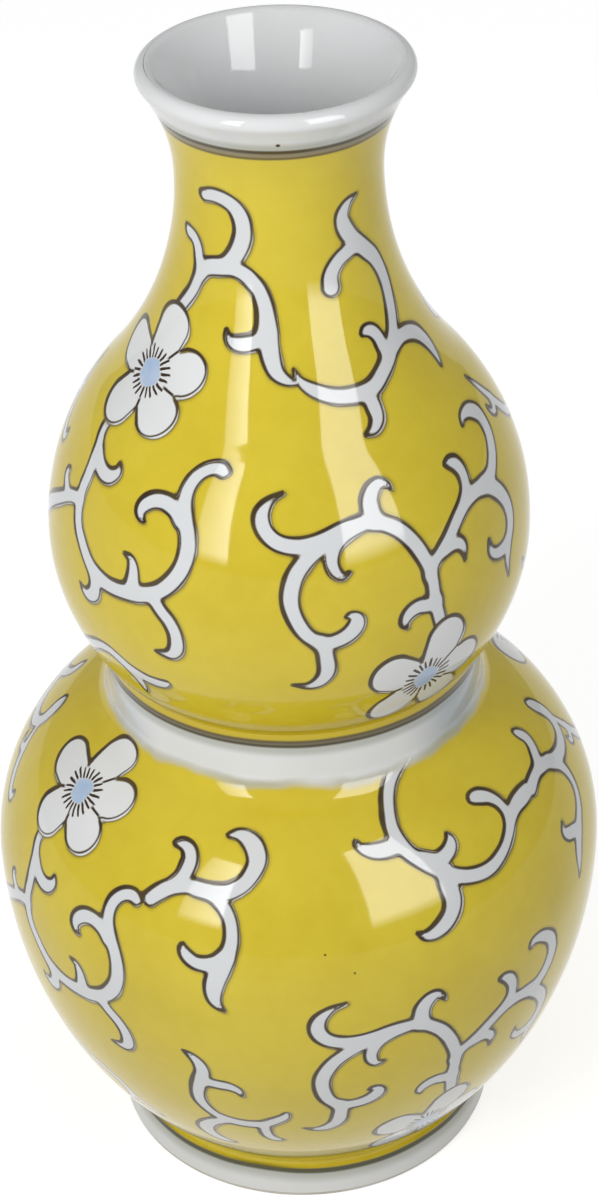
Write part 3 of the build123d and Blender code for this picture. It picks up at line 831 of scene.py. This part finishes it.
def yellow_ground(tree, spot, level):
    """Colour of brushed yellow enamel, deeper near the waist, where it lies thick in the crease and paints
    the shade under the upper bulb.
    """
    cloud = drift(tree, spot, 24 * MM, 0.0, 0.6)
    fine = drift(tree, spot, 3.5 * MM, -0.12, 0.12, channel=1)
    # deeper round the waist: thick enamel and painted shade in the crease between the bulbs
    pooled_and_shaded = between(tree, level, *POOLED_AND_SHADED_YELLOW)
    deep = add(tree, "Math", {0: cloud, 1: fine}, operation="ADD")
    deep = add(tree, "Math", {0: deep, 1: pooled_and_shaded}, operation="ADD", use_clamp=True)
    return add(tree, "Mix", {0: deep, 6: linear(YELLOW), 7: linear(YELLOW_DEEP)}, **BLEND)


def left_white(tree, spot, colour, filling, white, drawn):
    """A colour with a motif's filling in it and the motif's lines, and where the filling is."""
    side = add(tree, "Math", {0: drawn, 1: white}, operation="SUBTRACT")
    wander = drift(tree, spot, 6 * MM, -0.14, 0.14)
    white = add(tree, "Math", {0: white, 1: wander}, operation="ADD")
    uneven = drift(tree, spot, 9 * MM, 0.25, 0.7, channel=2)
    halo = add(tree, "Math", {0: below(tree, white, *HALO), 1: uneven}, **TIMES)
    colour = add(tree, "Mix", {0: halo, 6: colour, 7: linear(OLIVE)}, **BLEND)
    inside = below(tree, white, 0.0, LINE_SOFT / 2)
    colour = add(tree, "Mix", {0: inside, 6: colour, 7: filling}, **BLEND)
    edge = between(tree, white, *FILL_EDGE)
    colour = add(tree, "Mix", {0: edge, 6: colour, 7: linear(THIN_INK)}, **BLEND)
    thick = drift(tree, spot, 9 * MM, 0.7 * LINE_WIDTH, 1.3 * LINE_WIDTH, channel=1)
    lean = add(tree, "MapRange", {"Value": side, **LEAN})
    thick = add(tree, "Math", {0: thick, 1: lean}, **TIMES)
    off = add(tree, "Math", {0: drawn}, operation="ABSOLUTE")
    off = add(tree, "Math", {0: off, 1: thick}, operation="SUBTRACT")
    pale = drift(tree, spot, 7 * MM, 0.0, 0.45)
    ink = add(tree, "Mix", {0: pale, 6: linear(INK), 7: linear(THIN_INK)}, **BLEND)
    line = below(tree, off, 0.0, LINE_SOFT)
    return add(tree, "Mix", {0: line, 6: colour, 7: ink}, **BLEND), inside


print("yellow is", [round(share, 3) for share in linear(YELLOW)])

# %% [markdown]
# The heart of a blossom: a dab of thin cobalt, with stamens flicked outwards round it. In the
# blossom's own coordinates they are plain geometry: the dab is a disc, and the stamens are stripes
# of the angle between two radii, narrow outside and wide inside.

# %% Heart and stamens
HEART = "A9C0DE"
HEART_RADIUS = 2.4  # mm
STAMENS = 22
STAMEN_ENDS = (2.5, 4.7)  # mm
STAMEN_TAPER = {"To Min": -0.45, "To Max": 0.6}  # cosine at which a stamen ends, inside and outside


def blossom_heart(tree, spot, colour, own, out):
    """A colour with the hearts and the stamens of the blossoms."""
    out = add(tree, "Math", {0: out, 1: drift(tree, spot, 2.5 * MM, -0.35, 0.35)}, operation="ADD")
    wash = drift(tree, spot, 3 * MM, 0.7, 1.0)
    heart = add(tree, "Math", {0: below(tree, out, HEART_RADIUS, 0.25), 1: wash}, **TIMES)
    colour = add(tree, "Mix", {0: heart, 6: colour, 7: linear(HEART)}, **BLEND)
    angle = add(tree, "Math", {0: own["Y"], 1: own["X"]}, operation="ARCTAN2")
    astray = drift(tree, spot, 4 * MM, -1.2, 1.2, channel=1)
    wave = add(tree, "Math", {0: angle, 1: STAMENS, 2: astray}, operation="MULTIPLY_ADD")
    wave = add(tree, "Math", {0: wave}, operation="COSINE")
    ends = {"From Min": STAMEN_ENDS[0], "From Max": STAMEN_ENDS[1]}
    taper = add(tree, "MapRange", {"Value": out, **ends, **STAMEN_TAPER})
    stripe = add(tree, "Math", {0: taper, 1: wave}, operation="SUBTRACT")
    stripe = below(tree, stripe, 0.0, 0.3)
    ray = add(tree, "Math", {0: stripe, 1: between(tree, out, *STAMEN_ENDS, 0.2)}, **TIMES)
    return add(tree, "Mix", {0: ray, 6: colour, 7: linear(INK)}, **BLEND)


print(STAMENS, "stamens round each heart")

# %% [markdown]
# All of it in one material, in the order of the painter's work turned round: ground, vines left
# white, petals over the vines, notches, hearts and rings. The enamel lies a little proud of the
# white, which a small bump at its border gives.

# %% Yellow enamel
ENAMEL_STEP = 0.03 * MM
NOTCH = (4.6, 7.4)  # mm from the heart
BARE_BAND = (97.7, 106.0, 0.8)  # mm of height that the yellow leaves white, softness
BARE_FOOT = (6.0, 0.4)
GREY_EDGE = (97.4, 98.9, 0.7)
EDGE_GREY = "AAA784"


def notches(tree, colour, out, sine, cosine):
    """A colour with the short lines that part the petals."""
    aside = add(tree, "Math", {0: sine}, operation="ABSOLUTE")
    aside = add(tree, "Math", {0: aside, 1: out}, **TIMES)
    aside = add(tree, "Math", {0: aside, 1: 1 / len(PETALS)}, **TIMES)
    line = below(tree, aside, LINE_WIDTH, 0.13)
    for part in (below(tree, cosine, 0.0, 0.3), between(tree, out, *NOTCH, 0.4)):
        line = add(tree, "Math", {0: line, 1: part}, **TIMES)
    return add(tree, "Mix", {0: line, 6: colour, 7: linear(INK)}, **BLEND)


def painted_enamel():
    """Yellow enamel with its painted decoration."""
    finish, tree, shader, spot = new_finish("yellow_overglaze_enamel", **GLOSS)
    level = height_mm(tree, spot)
    ground = yellow_ground(tree, spot, level)
    white = glazed_white(tree, spot)
    carried = [add(tree, "Attribute", give="Vector", attribute_name=label)
               for label in ("vine", "petal", "blossom")]
    vine, petal, own = (add(tree, "SeparateXYZ", {"Vector": vector}).node.outputs for vector in carried)
    shaded = add(tree, "Mix", {0: 0.7, 6: white, 7: linear(VINE_WHITE)}, **BLEND)
    colour, vines = left_white(tree, spot, ground, shaded, vine["Y"], vine["X"])
    flat = add(tree, "VectorMath", {0: carried[2], 1: (1, 1, 0)}, **TIMES)
    out = add(tree, "VectorMath", {0: flat}, give="Value", operation="LENGTH")
    flower = notches(tree, white, out, own["Z"], petal["Z"])
    flower = blossom_heart(tree, spot, flower, own, out)
    colour, petals = left_white(tree, spot, colour, flower, petal["Y"], petal["X"])
    wander = drift(tree, spot, 11 * MM, -0.6, 0.6, channel=1)
    edge = add(tree, "Math", {0: level, 1: wander}, operation="ADD")
    bare = add(tree, "Math", {0: between(tree, edge, *BARE_BAND), 1: below(tree, level, *BARE_FOOT)},
               operation="MAXIMUM")
    # the white band here also takes the painted shade at its sides
    band = flaws_and_shade(tree, spot, white, "waist_glaze")
    colour = add(tree, "Mix", {0: bare, 6: colour, 7: band}, **BLEND)
    colour = flaws_and_shade(tree, spot, colour, "lower_enamel")
    uneven = drift(tree, spot, 16 * MM, 0.2, 0.8)
    grey = add(tree, "Math", {0: between(tree, edge, *GREY_EDGE), 1: uneven}, **TIMES)
    colour = add(tree, "Mix", {0: grey, 6: colour, 7: linear(EDGE_GREY)}, **BLEND)
    step = add(tree, "Math", {0: vines, 1: petals}, operation="MAXIMUM")
    bump = add(tree, "Bump", {"Height": step, "Strength": 1.0, "Distance": ENAMEL_STEP,
                              "Normal": ripple(tree, spot)}, invert=True)
    cover(tree, shader, ring_lines(tree, colour, level), bump)
    return finish


enamel = painted_enamel()
print(enamel.name, "has", len(enamel.node_tree.nodes), "nodes")

# %% [markdown]
# Unglazed porcelain and slip. Only the foot's underside is bare: it was wiped so that it wouldn't
# stick to the kiln shelf. It is matt, a little grey and gritty. The seams were luted with slip, the
# same clay as a cream, which fires slightly warmer. Both are hardly seen, but from below they show
# how the vase was made.

# %% Biscuit and slip
def fired_clay(name, pale, dark):
    """Matt fired clay, gritty and a little clouded."""
    finish, tree, shader, spot = new_finish(name, Roughness=0.75, IOR=1.5)
    cloud = drift(tree, spot, 9 * MM, 0.0, 1.0)
    colour = add(tree, "Mix", {0: cloud, 6: linear(pale), 7: linear(dark)}, **BLEND)
    grit = add(tree, "TexNoise", {"Vector": spot, "Scale": 1 / (0.6 * MM), "Detail": 2.0})
    bump = add(tree, "Bump", {"Height": grit, "Strength": 1.0, "Distance": 0.04 * MM})
    cover(tree, shader, colour, bump)
    return finish


biscuit = fired_clay("unglazed_porcelain", "DAD6CD", "CBC5B8")
slip = fired_clay("luting_slip", "D6CFC0", "C4BBA8")
FINISHES = {"porcelain_biscuit": biscuit, "luting_slip": slip, "white_glaze": lining, "yellow_enamel": enamel}
print("finishes for the slots:", ", ".join(FINISHES))

# %% [markdown]
# Every node gets its finish. The record says which slot a node takes, and the new coats take the
# slot of the node that they stand for. Looking the slot up is safer than a list of names here: a
# node that changes its finish in the record changes it in the picture too.

# %% Give out the finishes
def wear(piece, finish):
    """Put one finish on a piece."""
    piece.data.materials.clear()
    piece.data.materials.append(finish)


slot_of = {part["node"]: part["material_slot"] for part in frame["record"]["subparts"]}
for name, node in frame["nodes"].items():
    wear(node, FINISHES[slot_of[name]])
for name, piece in coats.items():
    wear(piece, enamel if name in STAMPS else glaze)
print(len(slot_of), "nodes and", len(coats), "new coats have their finish")

# %% [markdown]
# A pale floor. The vase stands on a white table that fills the picture. A diffuse plane would come
# out grey, and more light would burn the vase out, so the plane also glows a little, only for rays
# from the camera and from reflections. It still takes the vase's shadow.

# %% Floor
FLOOR_SIZE = 6.0  # metres from the middle to an edge
FLOOR_GLOW = 0.66
FLOOR_GREY = "D2D2D2"


def pale_floor():
    """A large pale table top."""
    sheet = bmesh.new()
    bmesh.ops.create_grid(sheet, x_segments=1, y_segments=1, size=FLOOR_SIZE)
    floor = as_piece("floor", sheet)
    finish = bpy.data.materials.new("white_paper")
    tree = empty_tree(finish)
    ray = add(tree, "LightPath").node.outputs
    shown = ray["Is Camera Ray"]
    for kind in ("Is Glossy Ray", "Is Transmission Ray"):
        shown = add(tree, "Math", {0: shown, 1: ray[kind]}, operation="ADD", use_clamp=True)
    glow = add(tree, "Math", {0: shown, 1: FLOOR_GLOW}, **TIMES)
    paper = add(tree, "BsdfDiffuse", {"Color": linear(FLOOR_GREY)})
    light = add(tree, "Emission", {"Strength": glow})
    both = add(tree, "AddShader", {0: paper, 1: light})
    add(tree, "OutputMaterial", {"Surface": both})
    wear(floor, finish)
    return floor


print("floor of", 2 * FLOOR_SIZE, "m:", pale_floor().name)

# %% [markdown]
# Studio light. Two upright soft boxes stand in front: a narrow bright one on the left, brightest at
# the edge nearest the camera, and a wide even one on the right. The gloss shows their shapes on each
# bulb. White walls further off fill the shadows. The cloth of the wide box throws most of its light
# straight ahead, so it looks brighter in the gloss than it lights, and gets a lamp for each.

# %% Soft boxes and surroundings
BOX_DISTANCE = 0.42  # metres from the axis
CLOTH_GAP = 0.004  # metres by which the shine of a box stands before its light
BOXES = (  # degrees from the front, width, from and to in height, brightness at its left and right
    ("narrow_box", -35.5, 0.115, 0.155, 0.552, 4.5, 13.0),
    ("wide_box", 38, 0.209, 0.155, 0.70, 1.4, 1.4),
    ("wide_box_shine", 38, 0.209, 0.155, 0.70, 7.6, 7.6),
)
FADE = 0.08  # share of a box over which its lower edge fades
SURROUNDINGS = 0.58


def soft_box(name, around, width, low, high, left, right):
    """An upright soft box that faces the axis."""
    lamp = bpy.data.lights.new(name, "AREA")
    lamp.shape = "RECTANGLE"
    lamp.size = width
    lamp.size_y = high - low
    lamp.energy = pi * width * (high - low)
    tree = empty_tree(lamp)
    place = add(tree, "SeparateXYZ", {"Vector": add(tree, "NewGeometry", give="Parametric")}).node
    level = add(tree, "MapRange", {"Value": place.outputs["X"], "To Min": left, "To Max": right})
    fade = add(tree, "MapRange", {"Value": place.outputs["Y"], "From Max": FADE})
    level = add(tree, "Math", {0: level, 1: fade}, **TIMES)
    add(tree, "OutputLight", {"Surface": add(tree, "Emission", {"Strength": level})})
    box = show(name, lamp)
    turn = radians(around)
    out = BOX_DISTANCE - CLOTH_GAP if "shine" in name else BOX_DISTANCE
    spot = Vector((sin(turn), -cos(turn), 0)) * out + Vector((0, 0, (low + high) / 2))
    upright = Matrix.Rotation(turn, 4, "Z") @ Matrix.Rotation(pi / 2, 4, "X")
    box.matrix_world = Matrix.Translation(spot) @ upright
    box.visible_camera = False
    box.visible_diffuse = "shine" not in name
    return box


for box in BOXES:
    lamp = soft_box(*box)
    print(lamp.name, "is", round(lamp.data.size_y, 3), "m high")

world = bpy.data.worlds.new("surroundings")
scene.world = world
tree = empty_tree(world)
add(tree, "OutputWorld", {"Surface": add(tree, "Background", {"Strength": SURROUNDINGS})})

# %% [markdown]
# The camera stands where the photographer's did: in front of the vase, above it and looking down,
# with a long lens, held a little askew. Its place is in metres and its tilt in degrees. A camera
# aimed by a Track To constraint would do too, but three plain turns say just how it was held.

# %% Camera
CAMERA_SPOT = Vector((0, -0.44985, 0.41995))
LOOK_DOWN, LOOK_LEFT, ASKEW = radians(34.255), radians(-0.161), radians(-1.652)
FILM_HEIGHT = 24.0  # mm
FOCAL = 60.52  # mm

lens = bpy.data.cameras.new("photo_camera")
lens.sensor_fit = "VERTICAL"
lens.sensor_height = FILM_HEIGHT
lens.lens = FOCAL
lens.clip_start = 0.01
camera = show("photo_camera", lens)
aim = Matrix.Rotation(LOOK_LEFT, 4, "Z") @ Matrix.Rotation(pi / 2 - LOOK_DOWN, 4, "X")
camera.matrix_world = Matrix.Translation(CAMERA_SPOT) @ aim @ Matrix.Rotation(ASKEW, 4, "Z")
scene.camera = camera
print("camera up", [round(c, 5) for c in camera.matrix_world.col[1][:3]])

# %% [markdown]
# Last, plain colours. The Standard view shows a colour as it was written.

# %% Finish
scene.view_settings.view_transform = "Standard"
